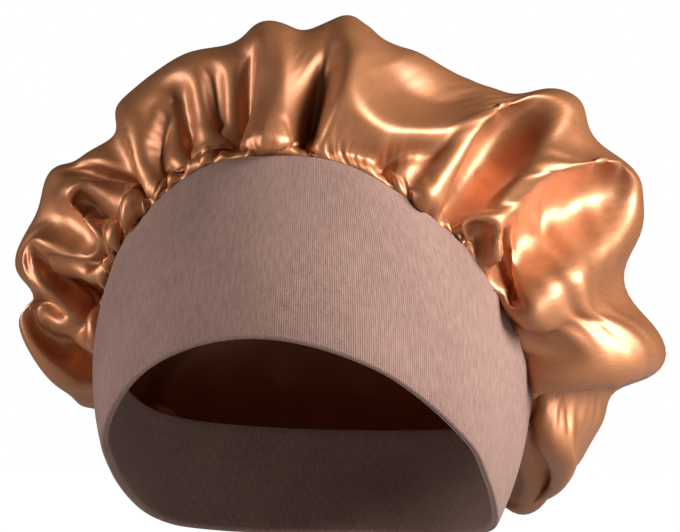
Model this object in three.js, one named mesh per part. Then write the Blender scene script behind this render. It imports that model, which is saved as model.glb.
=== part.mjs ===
// Sleep bonnet in its worn form: a knitted headband and a gathered satin crown.
// Millimetres. +Z is up, the face looks along -Y, the wearer's left is +X.
// The origin is the centre of the head hollow.
import * as THREE from 'three';

// ---- sizes -------------------------------------------------------------
const HEAD_HALF_WIDTH = 77.5;    // head hollow, half its width along X
const HEAD_HALF_DEPTH = 95.5;    // head hollow, half its depth along Y
const BAND_WALL = 3.0;           // doubled jersey with its elastic
const CROWN_WALL = 1.6;          // satin, doubled
const SEAM_GAP = 0.3;            // clear between band and crown
const CROWN_SEAT = 2.6;          // crown's outer face at the seam, from the band's inner face
const BAND_BULGE = 1.5e-5;       // how far the band rounds over the head, per mm squared
const CROWN_TURN = 12.5;         // degrees the crown's widest line is slung about Z
const RIM_AT = 0.45;             // where the widest line falls along a meridian
const APEX_ACROSS = 6;           // crown's closing point, across the slung line
const APEX_UP = 64;              // crown's closing point, above the origin
const APEX_BEHIND = 158;         // crown's closing point, behind the origin
const COLUMNS = 96;              // divisions round the head
const CROWN_ROWS = 19;           // divisions from the seam to the closing point
const BAND_ROWS = 5;             // divisions across the band

// ---- the headband, a row every few degrees from the brow (0) to the nape (180)
// lower edge height, lower edge girth share, seam height, seam girth share
const BAND = [
  {angle: 0, lowZ: 23.5, lowShare: 0.980, seamZ: 85.0, seamShare: 0.670},
  {angle: 30, lowZ: 14.0, lowShare: 0.985, seamZ: 80.5, seamShare: 0.712},
  {angle: 60, lowZ: -11.0, lowShare: 0.962, seamZ: 58.5, seamShare: 0.860},
  {angle: 75, lowZ: -24.0, lowShare: 0.900, seamZ: 38.5, seamShare: 0.935},
  {angle: 90, lowZ: -34.0, lowShare: 0.860, seamZ: 17.5, seamShare: 0.985},
  {angle: 105, lowZ: -41.0, lowShare: 0.850, seamZ: 2.0, seamShare: 0.990},
  {angle: 120, lowZ: -45.0, lowShare: 0.850, seamZ: -5.0, seamShare: 0.975},
  {angle: 150, lowZ: -48.0, lowShare: 0.865, seamZ: -9.0, seamShare: 0.970},
  {angle: 180, lowZ: -48.0, lowShare: 0.870, seamZ: -10.0, seamShare: 0.970},
];

// ---- the crown's widest line, a row for each lobe's top or hollow
// angle on the seam, then mm across the slung line, up, and behind the origin
const WIDEST = [
  {angle: -180, across: -15, up: -14, behind: 148},
  {angle: -150, across: -64, up: -14, behind: 134},
  {angle: -130, across: -84, up: -10, behind: 106},
  {angle: -115, across: -87, up: -1, behind: 78},
  {angle: -105, across: -94, up: 0, behind: 50},
  {angle: -97, across: -104, up: 14, behind: 36},
  {angle: -90, across: -112, up: 33, behind: 26},
  {angle: -84, across: -106, up: 41, behind: 20},
  {angle: -77, across: -111, up: 55, behind: 14},
  {angle: -70, across: -103, up: 70, behind: 8},
  {angle: -62, across: -98, up: 85, behind: 2},
  {angle: -52, across: -82, up: 95, behind: -6},
  {angle: -44, across: -72, up: 108, behind: -12},
  {angle: -36, across: -61, up: 119, behind: -17},
  {angle: -28, across: -48, up: 127, behind: -21},
  {angle: -20, across: -33, up: 131, behind: -25},
  {angle: -10, across: -19, up: 135, behind: -27},
  {angle: 0, across: -6, up: 135, behind: -27},
  {angle: 10, across: 8, up: 143, behind: -26},
  {angle: 20, across: 22, up: 134, behind: -23},
  {angle: 30, across: 38, up: 128, behind: -18},
  {angle: 40, across: 56, up: 121, behind: -12},
  {angle: 48, across: 71, up: 117, behind: -7},
  {angle: 55, across: 93, up: 119, behind: 0},
  {angle: 62, across: 112, up: 108, behind: 5},
  {angle: 68, across: 129, up: 87, behind: 10},
  {angle: 73, across: 124, up: 68, behind: 15},
  {angle: 78, across: 116, up: 49, behind: 19},
  {angle: 83, across: 129, up: 32, behind: 24},
  {angle: 87, across: 141, up: 15, behind: 29},
  {angle: 93, across: 121, up: 4, behind: 38},
  {angle: 100, across: 112, up: -9, behind: 46},
  {angle: 107, across: 97, up: -19, behind: 56},
  {angle: 115, across: 94, up: -32, behind: 76},
  {angle: 130, across: 84, up: -38, behind: 106},
  {angle: 150, across: 50, up: -24, behind: 136},
];

// ---- the crown's main folds, each a valley running from the seam over the widest line
// angle at the seam, angle at the widest line, half width in degrees, depths in mm
const FOLDS = [
  {seam: -174, rim: -172, half: 6, low: 5, high: 5},
  {seam: -156, rim: -157, half: 6, low: 5, high: 4},
  {seam: -139, rim: -141, half: 6, low: 5, high: 5},
  {seam: -121, rim: -122, half: 6, low: 5, high: 5},
  {seam: -105, rim: -102, half: 5, low: 5, high: 5},
  {seam: -90, rim: -84, half: 5, low: 7, high: 6},
  {seam: -74, rim: -71, half: 5, low: 6, high: 3},
  {seam: -59, rim: -63, half: 5, low: 7, high: 5},
  {seam: -46, rim: -46, half: 5, low: 6, high: 4},
  {seam: -33, rim: -34, half: 5, low: 6, high: 3},
  {seam: -20, rim: -18, half: 5, low: 7, high: 5},
  {seam: -7, rim: -8, half: 5, low: 6, high: 3},
  {seam: 8, rim: 8, half: 5, low: 7, high: 5},
  {seam: 24, rim: 22, half: 6, low: 6, high: 0},
  {seam: 39, rim: 45, half: 6, low: 7, high: 5},
  {seam: 53, rim: 57, half: 5, low: 7, high: 9},
  {seam: 64, rim: 67, half: 5, low: 7, high: 9},
  {seam: 76, rim: 76, half: 5, low: 6, high: 4},
  {seam: 92, rim: 91, half: 5, low: 7, high: 9},
  {seam: 106, rim: 108, half: 5, low: 6, high: 6},
  {seam: 122, rim: 124, half: 6, low: 5, high: 5},
  {seam: 138, rim: 140, half: 6, low: 5, high: 4},
  {seam: 154, rim: 155, half: 6, low: 5, high: 5},
  {seam: 170, rim: 171, half: 6, low: 5, high: 5},
];

// ---- helpers -----------------------------------------------------------
const rad = (deg) => deg * Math.PI / 180;
const wrap = (deg) => ((deg + 180) % 360 + 360) % 360 - 180;
const smooth = (t) => {
  const c = Math.min(Math.max(t, 0), 1);
  return c * c * (3 - 2 * c);
};
const vec = (x, y, z) => new THREE.Vector3(x, y, z);
const hermite = (a, b, ta, tb, t) => {
  const t2 = t * t;
  const t3 = t2 * t;
  const out = a.clone().multiplyScalar(2 * t3 - 3 * t2 + 1);
  out.addScaledVector(ta, t3 - 2 * t2 + t);
  out.addScaledVector(b, 3 * t2 - 2 * t3);
  return out.addScaledVector(tb, t3 - t2);
};

// A smooth closed curve through the rows of a table, read at any angle.
function reader(rows, key) {
  const n = rows.length;
  const at = (i) => rows[((i % n) + n) % n].angle + 360 * Math.floor(i / n);
  const value = (i) => rows[((i % n) + n) % n][key];
  return (deg) => {
    const start = rows[0].angle;
    const d = ((deg - start) % 360 + 360) % 360 + start;
    let i = 0;
    while (at(i + 1) <= d) i += 1;
    const span = at(i + 1) - at(i);
    const t = (d - at(i)) / span;
    const m0 = (value(i + 1) - value(i - 1)) / (at(i + 1) - at(i - 1)) * span;
    const m1 = (value(i + 2) - value(i)) / (at(i + 2) - at(i)) * span;
    const t2 = t * t;
    const t3 = t2 * t;
    return (2 * t3 - 3 * t2 + 1) * value(i) + (t3 - 2 * t2 + t) * m0
      + (3 * t2 - 2 * t3) * value(i + 1) + (t3 - t2) * m1;
  };
}

// The band is alike on both sides of the face, so its rows are mirrored.
const mirrored = BAND.concat(
  BAND.slice(1, -1).reverse().map((row) => ({...row, angle: 360 - row.angle})),
);
const lowZ = reader(mirrored, 'lowZ');
const lowShare = reader(mirrored, 'lowShare');
const seamZ = reader(mirrored, 'seamZ');
const seamShare = reader(mirrored, 'seamShare');
const across = reader(WIDEST, 'across');
const up = reader(WIDEST, 'up');
const behind = reader(WIDEST, 'behind');

const ACROSS = vec(Math.cos(rad(CROWN_TURN)), Math.sin(rad(CROWN_TURN)), 0);
const BEHIND = vec(-Math.sin(rad(CROWN_TURN)), Math.cos(rad(CROWN_TURN)), 0);
const UP = vec(0, 0, 1);
const slung = (a, u, b) => vec(0, 0, 0)
  .addScaledVector(ACROSS, a).addScaledVector(UP, u).addScaledVector(BEHIND, b);
const APEX = slung(APEX_ACROSS, APEX_UP, APEX_BEHIND);

// Inner face of the band: w = 0 at the lower edge, w = 1 at the seam.
function bandFace(deg, w) {
  const z0 = lowZ(deg);
  const z1 = seamZ(deg);
  const share = lowShare(deg) * (1 - w) + seamShare(deg) * w
    + BAND_BULGE * (z1 - z0) ** 2 * 4 * w * (1 - w);
  return vec(
    HEAD_HALF_WIDTH * share * Math.sin(rad(deg)),
    -HEAD_HALF_DEPTH * share * Math.cos(rad(deg)),
    z0 * (1 - w) + z1 * w,
  );
}

// Direction up the band and direction out of the head at a place on the band.
function bandUp(deg, w) {
  return bandFace(deg, w + 0.01).sub(bandFace(deg, w - 0.01)).normalize();
}
function bandOut(deg, w) {
  const round = bandFace(deg + 0.5, w).sub(bandFace(deg - 0.5, w));
  return round.cross(bandUp(deg, w)).normalize();
}

// A meridian of the crown: it leaves the seam, rounds over the widest line and
// closes behind the head.
function meridian(deg) {
  const out = bandOut(deg, 1);
  const rise = bandUp(deg, 1);
  const seam = bandFace(deg, 1).addScaledVector(out, CROWN_SEAT).addScaledVector(rise, SEAM_GAP);
  const rim = slung(across(deg), up(deg), behind(deg));
  const first = rim.distanceTo(seam);
  const second = APEX.distanceTo(rim);
  const back = smooth((Math.abs(wrap(deg)) - 92) / 52);
  const leave = vec(0, 0, 0).addScaledVector(out, (0.4 + 0.5 * back) * first * 1.15);
  leave.addScaledVector(rise, (1.0 - 1.8 * back) * first * 1.15);
  const over = vec(0, 0, 0).addScaledVector(BEHIND, Math.cos(back * rad(70)));
  over.addScaledVector(UP, Math.sin(back * rad(70)));
  const close = APEX.clone().sub(rim);
  close.addScaledVector(BEHIND, -close.dot(BEHIND)).multiplyScalar(1.25);
  return (v) => {
    if (v <= RIM_AT) {
      return hermite(seam, rim, leave, over.clone().multiplyScalar(first * 0.65), v / RIM_AT);
    }
    const t = (v - RIM_AT) / (1 - RIM_AT);
    return hermite(rim, APEX, over.clone().multiplyScalar(second * 1.15), close, t);
  };
}

// How far the folds draw the crown in at a place on it.
function foldDepth(deg, v) {
  const start = smooth(v / 0.14);
  const end = 1 - smooth((v - 0.55) / 0.38);
  let depth = 0;
  for (const fold of FOLDS) {
    const t = smooth(v / RIM_AT);
    const middle = fold.seam * (1 - t) + fold.rim * t;
    const far = wrap(deg - middle) / fold.half;
    depth += (fold.low * (1 - t) + fold.high * t) * Math.exp(-far * far);
  }
  return depth * start * end;
}

// Outer face of the crown as a closed ring of columns for each row.
function crownRings() {
  const step = 360 / COLUMNS;
  const lines = [];
  for (let i = 0; i < COLUMNS; i += 1) lines.push(meridian(-180 + i * step));
  const rings = [];
  for (let j = 0; j < CROWN_ROWS; j += 1) {
    const v = j / CROWN_ROWS;
    const ring = [];
    for (let i = 0; i < COLUMNS; i += 1) {
      const round = lines[(i + 1) % COLUMNS](v).sub(lines[(i + COLUMNS - 1) % COLUMNS](v));
      const along = lines[i](Math.min(v + 0.01, 1)).sub(lines[i](Math.max(v - 0.01, 0)));
      const out = round.cross(along).normalize();
      ring.push(lines[i](v).addScaledVector(out, -foldDepth(-180 + i * step, v)));
    }
    rings.push(ring);
  }
  return rings;
}

// Unit normals of a stack of rings.
function ringNormals(rings, last) {
  return rings.map((ring, j) => ring.map((point, i) => {
    const round = ring[(i + 1) % COLUMNS].clone().sub(ring[(i + COLUMNS - 1) % COLUMNS]);
    const next = j + 1 < rings.length ? rings[j + 1][i] : last;
    const before = j > 0 ? rings[j - 1][i] : point;
    return round.cross(next.clone().sub(before)).normalize();
  }));
}

// A mesh from points and triangles, with one colour.
function solid(name, points, faces, colour, roughness) {
  const geometry = new THREE.BufferGeometry();
  const flat = new Float32Array(points.length * 3);
  points.forEach((p, i) => p.toArray(flat, i * 3));
  geometry.setAttribute('position', new THREE.BufferAttribute(flat, 3));
  geometry.setIndex(faces);
  geometry.computeVertexNormals();
  const material = new THREE.MeshStandardMaterial({color: colour, roughness});
  material.name = name;
  const mesh = new THREE.Mesh(geometry, material);
  mesh.name = name;
  return mesh;
}

// ---- crown -------------------------------------------------------------
function makeCrown() {
  const outer = crownRings();
  const normals = ringNormals(outer, APEX);
  const inner = outer.map((ring, j) => ring.map((point, i) => {
    const deg = -180 + i * 360 / COLUMNS;
    const way = j === 0 ? bandOut(deg, 1) : normals[j][i];
    return point.clone().addScaledVector(way, -CROWN_WALL);
  }));
  const points = outer.flat().concat(inner.flat());
  const shift = CROWN_ROWS * COLUMNS;
  const outerTip = points.length;
  points.push(APEX.clone());
  points.push(APEX.clone().addScaledVector(BEHIND, -CROWN_WALL));
  const faces = [];
  for (let j = 0; j + 1 < CROWN_ROWS; j += 1) {
    for (let i = 0; i < COLUMNS; i += 1) {
      const a = j * COLUMNS + i;
      const b = j * COLUMNS + (i + 1) % COLUMNS;
      const c = a + COLUMNS;
      const d = b + COLUMNS;
      faces.push(a, b, d, a, d, c);
      faces.push(a + shift, d + shift, b + shift, a + shift, c + shift, d + shift);
    }
  }
  for (let i = 0; i < COLUMNS; i += 1) {
    const next = (i + 1) % COLUMNS;
    const top = (CROWN_ROWS - 1) * COLUMNS;
    faces.push(top + i, top + next, outerTip);
    faces.push(top + shift + next, top + shift + i, outerTip + 1);
    faces.push(i, i + shift, next + shift, i, next + shift, next);
  }
  return solid('crown', points, faces, 0xb5713f, 0.3);
}

// ---- headband ----------------------------------------------------------
function makeBand() {
  const points = [];
  const section = 2 * BAND_ROWS + 4;
  for (let i = 0; i < COLUMNS; i += 1) {
    const deg = -180 + i * 360 / COLUMNS;
    const row = (w, off, slip) => {
      const p = bandFace(deg, w).addScaledVector(bandOut(deg, w), off);
      points.push(p.addScaledVector(bandUp(deg, w), slip));
    };
    for (let j = 0; j <= BAND_ROWS; j += 1) row(j / BAND_ROWS, BAND_WALL, 0);
    for (let j = BAND_ROWS; j >= 0; j -= 1) row(j / BAND_ROWS, 0, 0);
    row(0, 0.3 * BAND_WALL, -0.4 * BAND_WALL);
    row(0, 0.7 * BAND_WALL, -0.4 * BAND_WALL);
  }
  const faces = [];
  for (let i = 0; i < COLUMNS; i += 1) {
    const next = (i + 1) % COLUMNS;
    for (let k = 0; k < section; k += 1) {
      const a = i * section + k;
      const b = i * section + (k + 1) % section;
      const c = next * section + k;
      const d = next * section + (k + 1) % section;
      faces.push(a, c, d, a, d, b);
    }
  }
  return solid('headband', points, faces, 0xa58276, 0.9);
}

const bonnet = new THREE.Group();
bonnet.name = 'sleep_bonnet';
bonnet.add(makeBand());
bonnet.add(makeCrown());

export default bonnet;
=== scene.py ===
"""Looks of the sleep bonnet: a knitted headband with a gathered satin crown.

Sizes are in millimetres until a mesh is made, then metres. +Z is up, the face
looks along -Y and the wearer's left is +X. Angles run round the head from the
brow (0) over the wearer's left (90) to the nape (180).
"""
import math

import bpy
import numpy as np
from mathutils import Matrix, Vector


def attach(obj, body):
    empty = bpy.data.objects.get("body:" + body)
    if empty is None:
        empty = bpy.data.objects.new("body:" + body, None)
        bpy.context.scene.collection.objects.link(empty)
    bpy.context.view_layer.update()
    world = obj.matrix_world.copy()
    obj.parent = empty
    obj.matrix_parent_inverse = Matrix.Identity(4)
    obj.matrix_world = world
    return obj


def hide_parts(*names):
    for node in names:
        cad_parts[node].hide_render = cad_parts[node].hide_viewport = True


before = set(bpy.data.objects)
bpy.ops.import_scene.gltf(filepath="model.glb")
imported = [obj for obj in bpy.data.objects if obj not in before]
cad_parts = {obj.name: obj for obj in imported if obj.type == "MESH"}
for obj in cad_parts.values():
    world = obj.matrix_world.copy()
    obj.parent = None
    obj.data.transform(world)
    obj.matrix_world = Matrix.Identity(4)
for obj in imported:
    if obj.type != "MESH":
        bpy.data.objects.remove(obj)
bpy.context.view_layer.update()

# ---------------------------------------------------------------- sizes
# The head inside the band, and the band.
HEAD_HALF_WIDTH = 77.5
HEAD_HALF_DEPTH = 95.5
BAND_WALL = 3.0
BAND_BULGE = 1.5e-5  # swell of the band's share of the girth, per mm^2 of height
BAND_COLUMNS = 360
FACE_ROWS = 14  # mesh rows up each face of the band
EDGE_ROWS = 5  # mesh rows round each of its edges

# The crown: its cloth, its seat on the band and its closing point.
CROWN_WALL = 1.1
CROWN_SEAT = 1.6
CROWN_TURN = 12.5  # degrees from straight ahead to the side that the tables face
APEX = (6.0, 64.0, 158.0)  # across, up, behind
RIM_AT = 0.45  # where the widest line lies, from the seam (0) to the closing point (1)
COLUMNS = 490
ROWS = 98

# Folds: their depth, their profile and how far back round the head they go.
FOLD_RELIEF = 1.4
FOLD_SHARPNESS = 1.40
FRONT_ENDS, FRONT_FADE = 125.0, 15.0  # degrees from the brow
VIEW_DISTANCE = 1300.0  # mm, to the point where the folds' lines of sight meet

# Letting the cloth go, then ironing it.
SEAM_FULLNESS = 1.07
FULLNESS_REACH = 0.16
RELAX_STEPS = 10
RELAX_ROUNDS = 3
PANEL_ANGLE = 23.0
PANEL_SPREAD = 19.0
PANEL_PASSES = 16
CLOTH_PASSES = 4
CALM = 0.2


def table(names, *rows):
    """Named columns of numbers: {name: array}, from one tuple a row."""
    return dict(zip(names.split(), np.array(rows, float).T))


BAND = table(
    "angle low_z low_share seam_z seam_share",
    (0, 23.5, 0.980, 85.0, 0.670),
    (30, 14.0, 0.985, 80.5, 0.712),
    (60, -11.0, 0.962, 58.5, 0.860),
    (75, -24.0, 0.900, 38.5, 0.935),
    (90, -34.0, 0.860, 17.5, 0.985),
    (105, -41.0, 0.850, 2.0, 0.990),
    (120, -45.0, 0.850, -5.0, 0.975),
    (150, -48.0, 0.865, -9.0, 0.970),
    (180, -48.0, 0.870, -10.0, 0.970),
)

WIDEST = table(
    "angle across up behind",
    (-180, -15, -14, 148),
    (-150, -64, -14, 134),
    (-130, -84, -10, 106),
    (-115, -87, -1, 78),
    (-105, -94, 0, 50),
    (-97, -104, 14, 36),
    (-90, -112, 33, 26),
    (-84, -106, 41, 20),
    (-77, -111, 55, 14),
    (-70, -103, 70, 8),
    (-62, -98, 85, 2),
    (-52, -82, 95, -6),
    (-44, -72, 108, -12),
    (-36, -61, 119, -17),
    (-28, -48, 127, -21),
    (-20, -33, 131, -25),
    (-10, -19, 138, -27),
    (0, -6, 135, -27),
    (10, 8, 140, -26),
    (20, 22, 133, -23),
    (30, 39, 129, -18),
    (40, 56, 121, -12),
    (48, 70, 117, -7),
    (55, 89, 117, 0),
    (62, 101, 101, 5),
    (68, 122, 86, 10),
    (73, 120, 71, 15),
    (78, 114, 49, 19),
    (83, 126, 32, 24),
    (87, 134, 18, 29),
    (93, 118, 6, 38),
    (100, 111, -6, 46),
    (107, 95, -18, 56),
    (115, 93, -31, 72),
    (130, 84, -40, 100),
    (150, 50, -24, 136),
)

# The folds at the back of the crown. Each valley runs out from the seam: its angle
# on the seam and on the widest line, its half width and its depth in mm.
BACK_FOLDS = table(
    "seam rim width depth",
    (-174, -172, 10, 6),
    (-156, -157, 10, 5),
    (-139, -141, 10, 6),
    (-121, -122, 10, 6),
    (-107, -105, 7, 5),
    (122, 124, 10, 6),
    (138, 140, 10, 5),
    (154, 155, 10, 6),
    (170, 171, 10, 6),
)

# The folds at the front of the crown, on an upright sheet that stands across the
# slung line, in mm: where each starts, passes and ends, across and up; how far it
# stands proud there (or sinks, below 0); and its width on its left and right
# hand, going from start to end.
FRONT_FOLDS = table(
    "a0 u0 a1 u1 a2 u2 first middle last left right",
    # top, left of the middle: deep narrow valleys with a full ridge between them
    (-25, 86, -27, 104, -25, 128, -7, -10, -4, 8, 3),
    (-18, 90, -12, 112, -13, 134, 2, 4, 2, 7, 7),
    (-5, 88, 0, 106, 7, 129, -8, -11, -5, 8, 3),
    (0, 93, 7, 113, 12, 140, 3, 6, 2, 3, 14),
    (-47, 85, -49, 99, -51, 115, -6, -8, -5, 5, 5),
    (-36, 87, -38, 104, -39, 122, -4, -6, -4, 4, 4),
    (-55, 82, -58, 92, -56, 107, -5, -5, -3, 3, 4),
    (-61, 80, -66, 93, -70, 106, 4, 4, 2, 3, 6),
    (-68, 76, -71, 90, -77, 102, -4, -6, -4, 7, 3),
    # left: two flattened loops, each a pair of ridges round a pocket
    (-61, 70, -73, 72, -88, 78, 4, 6, 5, 3, 2),
    (-66, 61, -79, 63, -90, 73, 3, 6, 5, 4, 3),
    (-62, 66, -72, 68, -83, 73, -7, -6, -4, 3, 2),
    (-66, 76, -76, 80, -89, 86, -6, -7, -4, 2, 5),
    (-75, 58, -84, 57, -95, 63, 4, 6, 5, 2, 3),
    (-74, 48, -86, 51, -98, 59, 3, 6, 5, 4, 3),
    (-73, 65, -81, 62, -93, 68, -7, -7, -4, 3, 2),
    (-77, 54, -86, 54, -94, 59, -6, -6, -3, 2, 2),
    # left: the lip, the dark pocket under it and the lowest lobe
    (-76, 45, -92, 44, -108, 48, 4, 6, 3, 3, 3),
    (-75, 47, -90, 48, -106, 54, -5, -7, -4, 2, 4),
    (-73, 38, -82, 39, -91, 40, -10, -11, -5, 5, 4),
    (-76, 27, -88, 31, -96, 43, 4, 7, 6, 4, 3),
    (-96, 40, -101, 38, -107, 36, -5, -6, -2, 3, 4),
    (-76, 18, -91, 19, -104, 30, -6, -7, -4, 2, 4),
    (-84, 22, -88, 30, -95, 37, -4, -6, -4, 2, 3),
    (-76, 13, -82, 12, -88, 13, -8, -7, -3, 4, 4),
    # right of the middle: one broad panel, its crest low and its top hollow
    (12, 124, 24, 100, 62, 106, 3, 6, 4, 10, 8),
    (28, 127, 42, 114, 60, 117, -2, -5, -2, 12, 9),
    (6, 92, 18, 91, 30, 86, -3, -3, -2, 6, 5),
    (24, 79, 30, 92, 46, 91, -3, -4, -2, 3, 3),
    # right: the finger, the deep valley, the crest beyond it
    (37, 70, 52, 91, 78, 113, 4, 6, 3, 3, 7),
    (51, 69, 66, 92, 77, 108, -7, -17, -12, 7, 7),
    (47, 65, 73, 82, 92, 109, 3, 7, 6, 5, 7),
    (55, 61, 64, 69, 73, 76, -3, -5, -3, 3, 3),
    # right: the wide dark fold with a thin ridge in it and a sharp lower bank
    (78, 58, 95, 70, 114, 79, -7, -13, -9, 5, 4),
    (76, 63, 91, 78, 112, 89, 4, 5, 3, 3, 2),
    (74, 71, 88, 84, 104, 93, -4, -6, -3, 3, 3),
    (77, 53, 96, 58, 119, 69, 4, 7, 5, 3, 7),
    # right: the tight cluster at the seam
    (54, 60, 64, 63, 74, 63, 3, 4, 3, 2, 2),
    (59, 54, 66, 57, 74, 57, 3, 4, 3, 2, 2),
    (66, 48, 73, 53, 81, 58, 3, 4, 3, 2, 2),
    (57, 57, 63, 60, 71, 60, -5, -5, -3, 2, 2),
    (63, 51, 70, 54, 77, 56, -5, -5, -3, 2, 2),
    (70, 46, 80, 50, 88, 56, -6, -7, -3, 2, 3),
    # right: the big drooping lobe, and the bright one under it
    (68, 43, 80, 44, 91, 56, 3, 5, 3, 3, 6),
    (76, 13, 95, 9, 114, 12, 3, 4, 3, 8, 2),
    (76, 6, 94, 4, 112, 6, -7, -9, -7, 2, 4),
    (84, -2, 91, -13, 93, -27, 4, 7, 5, 7, 7),
    (82, -1, 81, -13, 84, -28, -3, -6, -6, 2, 5),
)

# How each meridian leaves the seam: its share out of the head and up the band.
LEAVING = table(
    "angle out rise",
    (-180, 0.90, -0.80),
    (-140, 0.90, -0.70),
    (-110, 0.90, 0.30),
    (-85, 0.70, 0.75),
    (-50, 0.42, 0.90),
    (-15, 0.28, 1.00),
    (15, 0.25, 1.00),
    (50, 0.38, 0.92),
    (70, 0.62, 0.70),
    (82, 1.10, 0.00),
    (92, 1.15, -0.25),
    (100, 0.95, 0.05),
    (110, 0.95, -0.20),
    (140, 0.90, -0.70),
)

# How the seam's small gathers change round the head: their spacing in degrees,
# their height in mm and how far up the crown they reach.
GATHERS = table(
    "angle gap height reach",
    (-180, 7.0, 3.0, 0.14),
    (-110, 6.5, 3.0, 0.12),
    (-80, 6.0, 3.0, 0.10),
    (-45, 6.0, 3.6, 0.10),
    (-30, 7.0, 3.8, 0.12),
    (5, 6.0, 3.0, 0.08),
    (15, 5.5, 1.1, 0.04),
    (36, 5.0, 1.4, 0.05),
    (50, 5.0, 2.6, 0.07),
    (62, 4.2, 3.0, 0.11),
    (76, 4.5, 3.0, 0.10),
    (84, 7.0, 1.4, 0.05),
    (100, 7.0, 2.8, 0.12),
    (180, 7.0, 3.0, 0.14),
)


# ---------------------------------------------------------------- helpers
def wrap(degrees):
    """The same angle between -180 and 180."""
    return (degrees + 180.0) % 360.0 - 180.0


def smooth(t):
    """Eases from 0 to 1: 3t^2 - 2t^3 with t held between 0 and 1."""
    t = np.clip(t, 0.0, 1.0)
    return t * t * (3.0 - 2.0 * t)


def closed_curve(rows, column, degrees):
    """A smooth closed curve through a table's rows, read at any angle: cubic
    pieces whose slope at each row is that of the line between its neighbours."""
    angle, value = rows["angle"], rows[column]
    a = np.concatenate([angle[-2:] - 360.0, angle, angle[:3] + 360.0])
    y = np.concatenate([value[-2:], value, value[:3]])
    d = (degrees - angle[0]) % 360.0 + angle[0]
    k = np.clip(np.searchsorted(a, d, side="right") - 1, 1, len(a) - 3)
    span = a[k + 1] - a[k]
    t = (d - a[k]) / span
    m0 = (y[k + 1] - y[k - 1]) / (a[k + 1] - a[k - 1]) * span
    m1 = (y[k + 2] - y[k]) / (a[k + 2] - a[k]) * span
    return hermite(y[k], y[k + 1], m0, m1, t)


def hermite(a, b, ta, tb, t):
    """Cubic from a to b that leaves along ta and arrives along tb."""
    t2, t3 = t * t, t * t * t
    return ((2 * t3 - 3 * t2 + 1) * a + (t3 - 2 * t2 + t) * ta
            + (3 * t2 - 2 * t3) * b + (t3 - t2) * tb)


def unit(v):
    """The vectors of an array, each brought to length 1."""
    return v / np.maximum(np.linalg.norm(v, axis=-1, keepdims=True), 1e-9)


MIRRORED = {
    name: np.concatenate([col, (360.0 - col if name == "angle" else col)[-2:0:-1]])
    for name, col in BAND.items()
}


def band_face(degrees, w):
    """Inner face of the band. w runs from the lower edge (0) to the seam (1).
    The height and the share of the head's girth go straight from edge to edge,
    and the share swells half way by the bulge times the height squared."""
    z0, z1, s0, s1 = (closed_curve(MIRRORED, column, degrees)
                      for column in ("low_z", "seam_z", "low_share", "seam_share"))
    share = s0 * (1 - w) + s1 * w + BAND_BULGE * (z1 - z0) ** 2 * 4 * w * (1 - w)
    a = np.radians(degrees)
    return np.stack([HEAD_HALF_WIDTH * share * np.sin(a), -HEAD_HALF_DEPTH * share * np.cos(a),
                     z0 * (1 - w) + z1 * w], -1)


def band_up(degrees, w):
    """Direction up the band."""
    return unit(band_face(degrees, w + 0.01) - band_face(degrees, w - 0.01))


def band_out(degrees, w):
    """Direction out of the head."""
    round_ = band_face(degrees + 0.5, w) - band_face(degrees - 0.5, w)
    return unit(np.cross(round_, band_up(degrees, w)))


TURN = math.radians(CROWN_TURN)
ACROSS = np.array([math.cos(TURN), math.sin(TURN), 0.0])
BEHIND = np.array([-math.sin(TURN), math.cos(TURN), 0.0])
UP = np.array([0.0, 0.0, 1.0])
APEX_POINT = APEX[0] * ACROSS + APEX[1] * UP + APEX[2] * BEHIND


def crown_body(degrees, v):
    """The crown without its folds, as a (v, angle) grid of points. Each meridian
    is two cubics: out of the seam to the widest line, and on to the closing
    point behind the head."""
    out, rise = band_out(degrees, 1.0), band_up(degrees, 1.0)
    seam = band_face(degrees, 1.0) + out * CROWN_SEAT + rise * 0.3
    across, up, behind = (closed_curve(WIDEST, column, degrees)[:, None]
                          for column in ("across", "up", "behind"))
    rim = across * ACROSS + up * UP + behind * BEHIND
    first = np.linalg.norm(rim - seam, axis=1)[:, None]
    second = np.linalg.norm(APEX_POINT - rim, axis=1)[:, None]
    back = smooth((np.abs(wrap(degrees)) - 92.0) / 52.0)[:, None]
    leave = (out * closed_curve(LEAVING, "out", degrees)[:, None]
             + rise * closed_curve(LEAVING, "rise", degrees)[:, None]) * first * 1.15
    over = BEHIND * np.cos(back * math.radians(70)) + UP * np.sin(back * math.radians(70))
    close = APEX_POINT - rim
    close = (close - (close @ BEHIND)[:, None] * BEHIND) * 1.25
    v = v[:, None, None]
    front = hermite(seam, rim, leave, over * first * 0.8, v / RIM_AT)
    rear = hermite(rim, APEX_POINT, over * second * 1.35, close, (v - RIM_AT) / (1 - RIM_AT))
    return np.where(v <= RIM_AT, front, rear)


def slopes(points, columns):
    """Unit directions round and along a grid closed in its second axis, the
    outward direction, and mm per degree round it."""
    step = wrap(np.roll(columns, -1) - np.roll(columns, 1))[None, :, None]
    round_ = (np.roll(points, -1, 1) - np.roll(points, 1, 1)) / step
    along = np.gradient(points, axis=0)
    return unit(round_), unit(along), unit(np.cross(round_, along)), np.linalg.norm(round_, axis=-1)


def facing(columns):
    """1 over the front of the head, fading to 0 towards the nape."""
    return smooth((FRONT_ENDS - np.abs(columns)) / FRONT_FADE)


def back_fold_moves(columns, v, per_degree):
    """How far the back's folds sink: depth * exp(-|s/width|^1.6), s being the
    distance from the fold's line in mm."""
    t = smooth(v / RIM_AT)[:, None]
    amount = smooth(v[:, None] / 0.05) * (1.0 - smooth((v[:, None] - 0.55) / 0.40))
    sunk = np.zeros_like(per_degree)
    for seam, rim, width, depth in zip(*BACK_FOLDS.values()):
        s = wrap(columns[None, :] - (seam + (rim - seam) * t)) * per_degree
        sunk += depth * amount * np.exp(-np.abs(s / width) ** 1.6)
    return sunk


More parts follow.
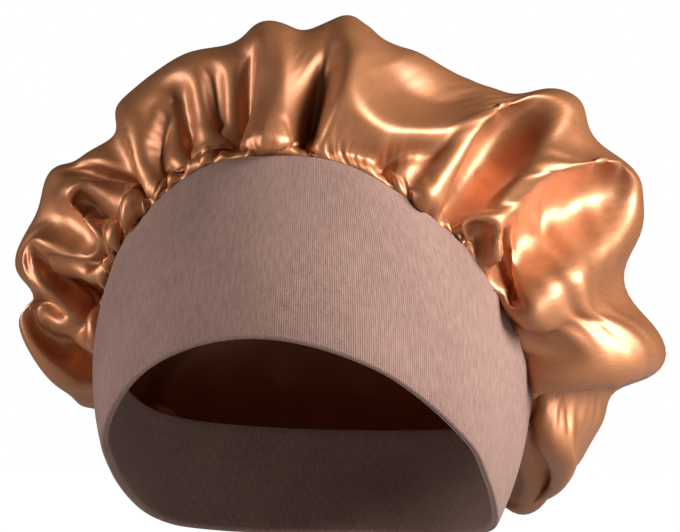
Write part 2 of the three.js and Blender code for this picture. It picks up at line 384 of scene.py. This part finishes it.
def front_fold_moves(body, columns, v):
    """How far the front's folds lift the crown. Points are carried on to the sheet
    along lines that meet 1.3 m in front. A fold's line is the parabola through
    its three points; the lift is height * exp(-|s/width|^sharpness), s being the
    distance from the line and width that of the side it lies on. Behind the
    widest line each meridian keeps the lift it has there, and that dies away."""
    scale = VIEW_DISTANCE / (VIEW_DISTANCE + body @ BEHIND)
    across, up = (body @ ACROSS) * scale, (body @ UP) * scale
    lift = np.zeros_like(across)
    t = np.linspace(0.0, 1.0, 25)
    shape = np.stack([(1 - t) * (1 - 2 * t), 4 * t * (1 - t), t * (2 * t - 1)])
    for row in zip(*FRONT_FOLDS.values()):
        a0, u0, a1, u1, a2, u2, first, middle, last, left, right = row
        line_a, line_u, height = np.array(
            [[a0, a1, a2], [u0, u1, u2], [first, middle, last]]) @ shape
        reach = 3.2 * max(left, right)
        near = ((across > line_a.min() - reach) & (across < line_a.max() + reach)
                & (up > line_u.min() - reach) & (up < line_u.max() + reach))
        da, du = across[near][:, None] - line_a, up[near][:, None] - line_u
        pick = np.argmin(da * da + du * du, axis=1)
        n = np.arange(len(pick))
        da, du = da[n, pick], du[n, pick]
        ahead_a, ahead_u = np.gradient(line_a)[pick], np.gradient(line_u)[pick]
        turn = (ahead_a * du - ahead_u * da) / np.hypot(ahead_a, ahead_u)
        width = right + (left - right) * smooth(0.5 + turn / (left + right))
        profile = np.exp(-(np.hypot(da, du) / width) ** FOLD_SHARPNESS)
        lift[near] += FOLD_RELIEF * height[pick] * profile
    rim = np.argmin(np.abs(v - RIM_AT))
    lift[rim:] = lift[rim]
    t = v[:, None]
    return lift * smooth(t / 0.03) * (1.0 - smooth((t - RIM_AT) / 0.42)) * facing(columns)


def gather_moves(columns, v, per_degree):
    """The small gathers at the seam: about sixty ridges with uneven spacing.
    Each is height * exp(-(s/width)^2), dies away over its own reach, and drifts
    sideways as it goes."""
    rng = np.random.default_rng(7)
    angle = -180.0
    zone = {name: np.interp(np.arange(-180.0, 181.0), GATHERS["angle"], col)
            for name, col in GATHERS.items()}
    outward = np.zeros_like(per_degree)
    sideways = np.zeros_like(per_degree)
    along = v[:, None]
    while angle < 180.0:
        here = int(angle) + 180
        gap = zone["gap"][here] * rng.uniform(0.65, 1.4)
        centre, height = angle + gap / 2, zone["height"][here] * rng.uniform(0.55, 1.35)
        reach, drift = zone["reach"][here] * rng.uniform(0.5, 1.5), rng.normal(0.0, 1.6)
        width = gap * 1.45 * rng.uniform(0.26, 0.38)
        lean = rng.normal(0.0, 1.2)
        t = along / reach
        s = wrap(columns[None, :] - centre - drift * smooth(t)) * per_degree
        amount = np.exp(-(t * 1.2) ** 2) * smooth(along / 0.012 + 0.35)
        wide = width * (1 + 1.5 * np.clip(t, 0, 1.5))
        ridge = np.exp(-(s / wide) ** 2)
        outward += height * amount * ridge
        sideways += lean * amount * smooth(along / 0.03) * ridge
        angle += gap
    return outward, sideways


def crown_points():
    """The crown's outer face: the plain body, then the folds, then the gathers."""
    u = np.linspace(-180.0, 180.0, COLUMNS, endpoint=False)
    columns = u - np.degrees(0.6 * np.sin(np.radians(u)) - 0.12 * np.sin(np.radians(2 * u)))
    t = np.linspace(0.0, 1.0, ROWS + 1)[:-1]
    v = t * (0.55 + 0.45 * t)
    body = crown_body(columns, v)
    _, _, out, per_degree = slopes(body, columns)
    lift = front_fold_moves(body, columns, v) - back_fold_moves(columns, v, per_degree)
    forward = facing(columns) * (1 - smooth((v[:, None] - 0.3) / 0.2))
    toward = unit(out - BEHIND * 0.8 * forward[..., None])
    points = body + toward * lift[..., None]
    round_, _, out, _ = slopes(points, columns)
    lift, slip = gather_moves(columns, v, per_degree)
    points = points + out * lift[..., None] + round_ * slip[..., None]
    points = relax(points, columns, v)
    return calm(points, v), columns, v


def grid_pairs(rows, cols, down, across_, rest, stiffness):
    """Pairs of grid points a fixed step apart, in sets where no point comes
    twice, each with its rest length and stiffness."""
    j, i = np.meshgrid(np.arange(rows - down), np.arange(cols), indexing="ij")
    a = j * cols + i
    b = (j + down) * cols + (i + across_) % cols
    if down:
        group = (j // down) % 2
    else:
        group = (i // across_) % 2
    return [(a[group == g], b[group == g], rest[:rows - down][group == g], stiffness) for g in (0, 1)]


def relax(points, columns, v):
    """The crown's cloth let go: its points keep their distances along the cloth
    (which is a little fuller than the shape near the seam), resist bending, are
    blown out a little and hang a little, and are drawn weakly to where they
    started. The seam stays put."""
    rows, cols = points.shape[:2]
    full = 1.0 + (SEAM_FULLNESS - 1.0) * (1 - smooth(v / FULLNESS_REACH))[:, None]

    def span(grid, down, across_):
        """Distance from each grid point to the one a step away."""
        other = np.roll(grid, -across_, 1)
        if down:
            other = np.concatenate([other[down:], other[-down:]])
        return np.linalg.norm(other - grid, axis=2)

    width = span(points, 0, 1) * full
    length = span(points, 1, 0)
    slant = np.hypot(width, length)
    sets = []
    sets += grid_pairs(rows, cols, 0, 1, width, 1.0)
    sets += grid_pairs(rows, cols, 1, 0, length, 1.0)
    sets += grid_pairs(rows, cols, 1, 1, slant, 0.25)
    sets += grid_pairs(rows, cols, 1, -1, slant, 0.25)
    # Longer steps only push, marked by a stiffness below 0: they resist bending.
    for k, s in ((2, 0.22), (4, 0.12), (8, 0.05)):
        far = sum(np.roll(width, -m, 1) for m in range(k))
        sets += [(a, b, r, -s) for a, b, r, _ in grid_pairs(rows, cols, 0, k, far, s)]
    for k, s in ((2, 0.22), (4, 0.12)):
        far = sum(np.concatenate([length[m:], length[-1:].repeat(m, 0)]) for m in range(k))
        sets += [(a, b, r, -s) for a, b, r, _ in grid_pairs(rows, cols, k, 0, far, s)]
    p = points.reshape(-1, 3).copy()
    start = p.copy()
    last = p.copy()
    hold = np.repeat(np.where(v < 0.01, 1.0, 0.10 + 0.05 * smooth((v - 0.3) / 0.2)), cols)[:, None]
    fixed = np.repeat(v < 1e-6, cols)
    for _ in range(RELAX_STEPS):
        grid = p.reshape(rows, cols, 3)
        normal = slopes(grid, columns)[2].reshape(-1, 3)
        move = (p - last) * 0.92
        last = p.copy()
        p += move + normal * 0.012 - UP * 0.004
        for _ in range(RELAX_ROUNDS):
            for a, b, rest, k in sets:
                d = p[b] - p[a]
                size = np.maximum(np.linalg.norm(d, axis=1), 1e-6)
                gap = size - rest
                if k < 0:
                    gap = np.minimum(gap, 0.0)
                d *= (gap / size * 0.5 * abs(k))[:, None]
                p[a] += d
                p[b] -= d
            p[fixed] = start[fixed]
        p += (start - p) * hold
    return iron(p.reshape(rows, cols, 3), columns, v)


def iron(points, columns, v):
    """Takes out creases finer than the cloth would hold: each point moves half
    way to the middle of its four neighbours, hardly at all by the seam. The
    broad panel at the front and the cloth from the widest line back get more
    passes than the rest."""
    share = 0.5 * smooth((v - 0.01) / 0.08)[:, None, None]
    panel = (np.exp(-((columns - PANEL_ANGLE) / PANEL_SPREAD) ** 4)[None, :]
             * smooth((v - 0.03) / 0.1)[:, None])
    more = np.maximum(panel, smooth((v - 0.30) / 0.12)[:, None])[..., None]
    for step in range(PANEL_PASSES):
        above = np.concatenate([points[1:], points[-1:]])
        below = np.concatenate([points[:1], points[:-1]])
        middle = (above + below + np.roll(points, 1, 1) + np.roll(points, -1, 1)) / 4
        points = points + (middle - points) * share * (1.0 if step < CLOTH_PASSES else more)
    return points


def calm(points, v):
    """Evens the crown behind the widest line, more and more towards its closing
    point: on each ring, waves of k a turn come down by exp(-(k * s)^2 / 2)."""
    waves = np.fft.rfft(points, axis=1)
    k = np.arange(waves.shape[1])[None, :, None]
    s = CALM * smooth((v - 0.5) / 0.42)[:, None, None]
    return np.fft.irfft(waves * np.exp(-0.5 * (k * s) ** 2), n=points.shape[1], axis=1)


# ---------------------------------------------------------------- meshes
def grid_mesh(name, points, uv, close_round=True, pole=None):
    """A mesh from a (rows, columns) grid of points in mm, closed round its
    columns, with an optional pole after the last row. uv has the same grid
    with one column more."""
    rows, cols = points.shape[:2]
    verts = points.reshape(-1, 3)
    i = np.arange(cols)
    j = np.arange(rows - 1)[:, None]
    nxt = (i + 1) % cols
    quads = np.stack([j * cols + i, j * cols + nxt, (j + 1) * cols + nxt, (j + 1) * cols + i], -1)
    if not close_round:
        quads = quads[:, :-1]
    quads = quads.reshape(-1, 4)
    faces = quads.tolist()
    i0 = np.broadcast_to(i, (rows - 1, cols))
    j0 = np.broadcast_to(j, (rows - 1, cols))
    corner = np.stack([uv[j0, i0], uv[j0, i0 + 1], uv[j0 + 1, i0 + 1], uv[j0 + 1, i0]], 2)
    if not close_round:
        corner = corner[:, :-1]
    corner = corner.reshape(-1, 2)
    if pole is not None:
        verts = np.vstack([verts, pole])
        top = (rows - 1) * cols
        faces += np.stack([top + i, top + nxt, np.full(cols, len(verts) - 1)], -1).tolist()
        tip = np.stack([uv[-1, i], uv[-1, i + 1], (uv[-1, i] + uv[-1, i + 1]) / 2], 1)
        corner = np.vstack([corner, tip.reshape(-1, 2)])
    mesh = bpy.data.meshes.new(name)
    mesh.from_pydata((verts / 1000.0).tolist(), [], faces)
    layer = mesh.uv_layers.new(name="cloth")
    layer.data.foreach_set("uv", corner.astype(np.float32).ravel())
    mesh.polygons.foreach_set("use_smooth", np.ones(len(mesh.polygons), bool))
    mesh.update()
    obj = bpy.data.objects.new(name, mesh)
    bpy.context.scene.collection.objects.link(obj)
    return obj


# ---------------------------------------------------------------- materials
def new_material(name):
    """A node material with its Principled shader."""
    mat = bpy.data.materials.new(name)
    mat.use_nodes = True
    nodes = mat.node_tree.nodes
    nodes.clear()
    shader = nodes.new("ShaderNodeBsdfPrincipled")
    output = nodes.new("ShaderNodeOutputMaterial")
    mat.node_tree.links.new(shader.outputs[0], output.inputs[0])
    return mat, nodes, mat.node_tree.links, shader


def maths(nodes, links, operation, *inputs):
    """A Math node on the inputs given, which are sockets or numbers."""
    node = nodes.new("ShaderNodeMath")
    node.operation = operation
    for socket, value in zip(node.inputs, inputs):
        if isinstance(value, (int, float)):
            socket.default_value = value
        else:
            links.new(value, socket)
    return node.outputs[0]


def blend_colours(nodes, links, factor, low, high):
    """A colour between two, by a factor from 0 to 1."""
    node = nodes.new("ShaderNodeMix")
    node.data_type = "RGBA"
    links.new(factor, node.inputs["Factor"])
    node.inputs[6].default_value = (*low, 1)
    node.inputs[7].default_value = (*high, 1)
    return node.outputs[2]


def uneven_yarn():
    """Group: how yarn varies along its length. Reads a surface position in
    metres; gives fine streaks and broad patches, both 0 to 1."""
    group = bpy.data.node_groups.new("uneven_yarn", "ShaderNodeTree")
    face = group.interface
    face.new_socket("Place", in_out="INPUT", socket_type="NodeSocketVector")
    for name, start in (("Across", 900.0), ("Along", 120.0), ("Patches", 60.0)):
        face.new_socket(name, in_out="INPUT", socket_type="NodeSocketFloat").default_value = start
    face.new_socket("Streaks", in_out="OUTPUT", socket_type="NodeSocketFloat")
    face.new_socket("Mottle", in_out="OUTPUT", socket_type="NodeSocketFloat")
    nodes, links = group.nodes, group.links
    start, end = nodes.new("NodeGroupInput"), nodes.new("NodeGroupOutput")
    split, join = nodes.new("ShaderNodeSeparateXYZ"), nodes.new("ShaderNodeCombineXYZ")
    links.new(start.outputs["Place"], split.inputs[0])
    for k, name in enumerate(("Across", "Along")):
        stretched = maths(nodes, links, "MULTIPLY", split.outputs[k], start.outputs[name])
        links.new(stretched, join.inputs[k])
    streaks, mottle = nodes.new("ShaderNodeTexNoise"), nodes.new("ShaderNodeTexNoise")
    streaks.inputs["Scale"].default_value = 1.0
    streaks.inputs["Detail"].default_value = 3.0
    links.new(join.outputs[0], streaks.inputs["Vector"])
    links.new(start.outputs["Place"], mottle.inputs["Vector"])
    links.new(start.outputs["Patches"], mottle.inputs["Scale"])
    mottle.inputs["Detail"].default_value = 2.0
    links.new(streaks.outputs[0], end.inputs["Streaks"])
    links.new(mottle.outputs[0], end.inputs["Mottle"])
    return group


YARN = uneven_yarn()


def place_yarn(nodes, links, across, along, patches):
    """The yarn group set in a material, reading the cloth's own UV map."""
    uv = nodes.new("ShaderNodeUVMap")
    uv.uv_map = "cloth"
    yarn = nodes.new("ShaderNodeGroup")
    yarn.node_tree = YARN
    links.new(uv.outputs[0], yarn.inputs["Place"])
    for name, value in (("Across", across), ("Along", along), ("Patches", patches)):
        yarn.inputs[name].default_value = value
    return uv, yarn


def mix_yarn(nodes, links, yarn, streaks, mottle):
    """The yarn's streaks and patches added, each by its share."""
    return maths(nodes, links, "ADD",
                 maths(nodes, links, "MULTIPLY", yarn.outputs["Streaks"], streaks),
                 maths(nodes, links, "MULTIPLY", yarn.outputs["Mottle"], mottle))


def bump(nodes, links, shader, height, distance, strength):
    """A Bump node in metres on the shader's normal."""
    node = nodes.new("ShaderNodeBump")
    node.inputs["Distance"].default_value = distance
    node.inputs["Strength"].default_value = strength
    links.new(height, node.inputs["Height"])
    links.new(node.outputs[0], shader.inputs["Normal"])


def satin():
    """Glossy satin: floating yarns that shine along the cloth, uneven from yarn
    to yarn, on a coppery gold ground."""
    mat, nodes, links, shader = new_material("crown_satin")
    _, yarn = place_yarn(nodes, links, 2600.0, 160.0, 45.0)
    mixed = mix_yarn(nodes, links, yarn, 0.6, 0.4)
    colour = blend_colours(nodes, links, mixed, (0.36, 0.124, 0.043), (0.56, 0.226, 0.092))
    links.new(colour, shader.inputs["Base Color"])
    links.new(maths(nodes, links, "ADD", 0.39, maths(nodes, links, "MULTIPLY", mixed, 0.14)),
              shader.inputs["Roughness"])
    shader.inputs["Metallic"].default_value = 0.62
    shader.inputs["Specular IOR Level"].default_value = 0.5
    shader.inputs["Anisotropic"].default_value = 0.45
    shader.inputs["Coat Weight"].default_value = 0.4
    shader.inputs["Coat Roughness"].default_value = 0.38
    shader.inputs["Coat IOR"].default_value = 1.6
    tangent = nodes.new("ShaderNodeTangent")
    tangent.direction_type = "UV_MAP"
    tangent.uv_map = "cloth"
    links.new(tangent.outputs[0], shader.inputs["Tangent"])
    bump(nodes, links, shader, yarn.outputs["Streaks"], 0.0001, 0.5)
    return mat


def jersey():
    """Fine heathered jersey: upright columns of V stitches, two mauves of yarn
    mixed along the courses."""
    mat, nodes, links, shader = new_material("band_jersey")
    uv, yarn = place_yarn(nodes, links, 900.0, 260.0, 30.0)
    split = nodes.new("ShaderNodeSeparateXYZ")
    links.new(uv.outputs[0], split.inputs[0])
    wale = maths(nodes, links, "MULTIPLY", split.outputs[0], 1150.0)
    side = maths(nodes, links, "SUBTRACT", maths(nodes, links, "FRACT", wale), 0.5)
    half = maths(nodes, links, "ABSOLUTE", side)
    course = maths(nodes, links, "ADD", maths(nodes, links, "MULTIPLY", split.outputs[1], 1350.0),
                   maths(nodes, links, "MULTIPLY", half, 0.9))
    stitch = maths(nodes, links, "SINE", maths(nodes, links, "MULTIPLY", course, 2 * math.pi))
    column = maths(nodes, links, "COSINE", maths(nodes, links, "MULTIPLY", half, 2 * math.pi))
    knit = maths(nodes, links, "SUBTRACT", maths(nodes, links, "MULTIPLY", stitch, 0.35),
                 maths(nodes, links, "MULTIPLY", column, 0.5))
    marl = mix_yarn(nodes, links, yarn, 0.65, 0.35)
    spread = nodes.new("ShaderNodeMapRange")
    spread.inputs["From Min"].default_value = 0.25
    spread.inputs["From Max"].default_value = 0.75
    links.new(marl, spread.inputs[0])
    colour = blend_colours(nodes, links, spread.outputs[0],
                           (0.172, 0.089, 0.069), (0.312, 0.186, 0.147))
    links.new(colour, shader.inputs["Base Color"])
    shader.inputs["Roughness"].default_value = 0.88
    shader.inputs["Sheen Weight"].default_value = 0.08
    shader.inputs["Sheen Roughness"].default_value = 0.4
    bump(nodes, links, shader, knit, 0.0002, 0.5)
    return mat


# ---------------------------------------------------------------- crown
points, columns, v = crown_points()
arc = np.append(columns, columns[0] + 360.0) / 360.0 * 0.56
uv = np.stack(np.broadcast_arrays(arc[None, :], (v * 0.30)[:, None]), -1)
crown = grid_mesh("crown_satin", points, uv, pole=APEX_POINT)
wall = crown.modifiers.new("wall", "SOLIDIFY")
wall.thickness = CROWN_WALL / 1000.0
wall.offset = -1.0
crown.data.materials.append(satin())
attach(crown, "root")
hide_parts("crown")

# ---------------------------------------------------------------- headband
def band_points():
    """The band as a closed loop of wall: up its outer face, over the seam edge,
    down its inner face and round the lower fold. The offset from the inner face
    follows a rounded end of half the wall."""
    degrees = np.linspace(-180.0, 180.0, BAND_COLUMNS, endpoint=False)
    face = np.linspace(0.0, 1.0, FACE_ROWS)
    half = BAND_WALL / 2
    turn = np.linspace(0.0, np.pi, EDGE_ROWS + 2)[1:-1]
    flat, level = np.full(FACE_ROWS, half), np.zeros(FACE_ROWS)
    w = np.concatenate([face, np.ones(EDGE_ROWS), face[::-1], np.zeros(EDGE_ROWS)])
    off = np.concatenate([flat, half * np.cos(turn), -flat, -half * np.cos(turn)])
    slip = np.concatenate([level, 0.35 * half * np.sin(turn), level, -half * np.sin(turn)])
    rows = [band_face(degrees, a) + band_out(degrees, a) * (half + o) + band_up(degrees, a) * s
            for a, o, s in zip(w, off, slip)]
    rows.append(rows[0])
    return np.array(rows), degrees


ring, degrees = band_points()
arc = np.append(degrees, 180.0) / 360.0 * 0.55
height = np.linalg.norm(np.diff(ring, axis=0), axis=2).mean(1).cumsum() / 1000.0
uv = np.stack(np.broadcast_arrays(arc[None, :], np.append(0.0, height)[:, None]), -1)
band = grid_mesh("headband_jersey", ring, uv)
weld = band.modifiers.new("weld", "WELD")
weld.merge_threshold = 1e-6
band.data.materials.append(jersey())
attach(band, "root")
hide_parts("headband")

# ---------------------------------------------------------------- stage
def floor():
    """A wide flat pale floor under the bonnet, which looks evenly lit."""
    side = np.linspace(-15000.0, 15000.0, 5)
    pts = np.stack(np.broadcast_arrays(side, side[:, None], -320.0), -1)
    obj = grid_mesh("floor", pts, np.zeros((5, 6, 2)), close_round=False)
    mat, nodes, links, shader = new_material("floor_paper")
    shader.inputs["Base Color"].default_value = (0.35, 0.35, 0.35, 1)
    shader.inputs["Roughness"].default_value = 1.0
    shader.inputs["Emission Color"].default_value = (1, 1, 1, 1)
    seen = nodes.new("ShaderNodeLightPath")
    links.new(seen.outputs["Is Camera Ray"], shader.inputs["Emission Strength"])
    obj.data.materials.append(mat)


floor()


def area_light(name, place, size, power):
    """A soft rectangular white light at a place, in metres, aimed at the bonnet."""
    data = bpy.data.lights.new(name, "AREA")
    data.shape = "RECTANGLE"
    data.size, data.size_y = size
    data.energy = power
    obj = bpy.data.objects.new(name, data)
    obj.location = place
    obj.rotation_mode = "QUATERNION"
    obj.rotation_quaternion = (Vector((0, 0, 0.05)) - Vector(place)).to_track_quat("-Z", "Y")
    bpy.context.scene.collection.objects.link(obj)


area_light("key", (2.0, -0.32, 0.80), (1.2, 1.2), 116)
area_light("fill", (-1.7, -1.0, 0.3), (0.6, 1.4), 34)

world = bpy.data.worlds.new("studio")
bpy.context.scene.world = world
world.use_nodes = True
sky = world.node_tree.nodes["Background"]
sky.inputs[0].default_value = (1, 1, 1, 1)
ray = world.node_tree.nodes.new("ShaderNodeLightPath")
strength = maths(world.node_tree.nodes, world.node_tree.links, "MULTIPLY_ADD",
                 ray.outputs["Is Camera Ray"], 0.96, 0.04)
world.node_tree.links.new(strength, sky.inputs[1])

# ---------------------------------------------------------------- camera
def camera():
    """Level with the head's centre, a little to the wearer's left of straight
    ahead, looking slightly up at the middle of the bonnet."""
    right, ahead = Vector(ACROSS), -Vector(BEHIND)
    data = bpy.data.cameras.new("camera")
    data.sensor_width = 36.0
    data.lens = 187.2
    data.clip_start, data.clip_end = 0.05, 30
    obj = bpy.data.objects.new("camera", data)
    obj.location = ahead * VIEW_DISTANCE / 1000.0
    look = right * 0.0096 + Vector((0, 0, 0.0511)) - obj.location
    tilt = Matrix.Rotation(math.radians(0.6), 3, "Z").to_quaternion()
    obj.rotation_mode = "QUATERNION"
    obj.rotation_quaternion = look.to_track_quat("-Z", "Y") @ tilt
    bpy.context.scene.collection.objects.link(obj)
    bpy.context.scene.camera = obj


camera()
bpy.context.scene.view_settings.view_transform = "Standard"
